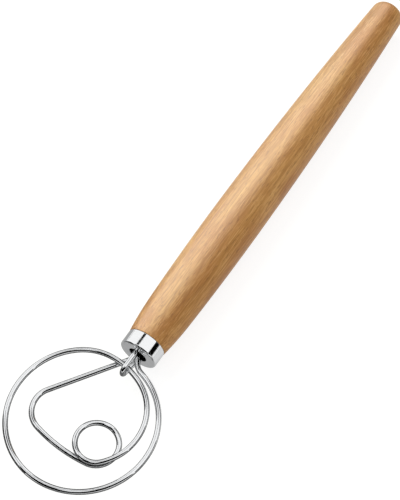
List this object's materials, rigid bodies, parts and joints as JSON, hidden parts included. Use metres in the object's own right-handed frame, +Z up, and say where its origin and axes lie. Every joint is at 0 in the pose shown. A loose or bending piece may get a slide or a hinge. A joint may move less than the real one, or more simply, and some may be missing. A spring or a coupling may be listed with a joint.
{
  "type": "dough whisk",
  "caption": "Long turned wooden handle with a metal ferrule and a flat bent-wire head: an outer ring, an inner loop and a small coil inside it, held at the neck by a wire hook.",
  "frame": {"origin": "On the handle's axis at the thickest place of the grip, where a hand holds it.", "axes": "+X runs along the handle from the wire head to the butt end. +Y is across the flat head, towards the side where the arm of the inner loop starts. +Z is up, square to the flat head, on the side of the front layer of wire and of the hook's front leg."},
  "size_m": [0.329, 0.0748, 0.0263],
  "materials": {
    "handle_wood": "lightly oiled, fine lengthwise grain",
    "ferrule_steel": "drawn and polished",
    "wire_steel": "bright drawn wire",
    "hook_steel": "bright drawn wire",
    "dark_resin": "cast, dull"
  },
  "bodies": {
    "root": {"handle": "handle_wood", "ferrule": "ferrule_steel", "whisk_wire": "wire_steel", "hairpin_hook": "hook_steel", "resin_plug": "dark_resin"}
  },
  "joints": []
}
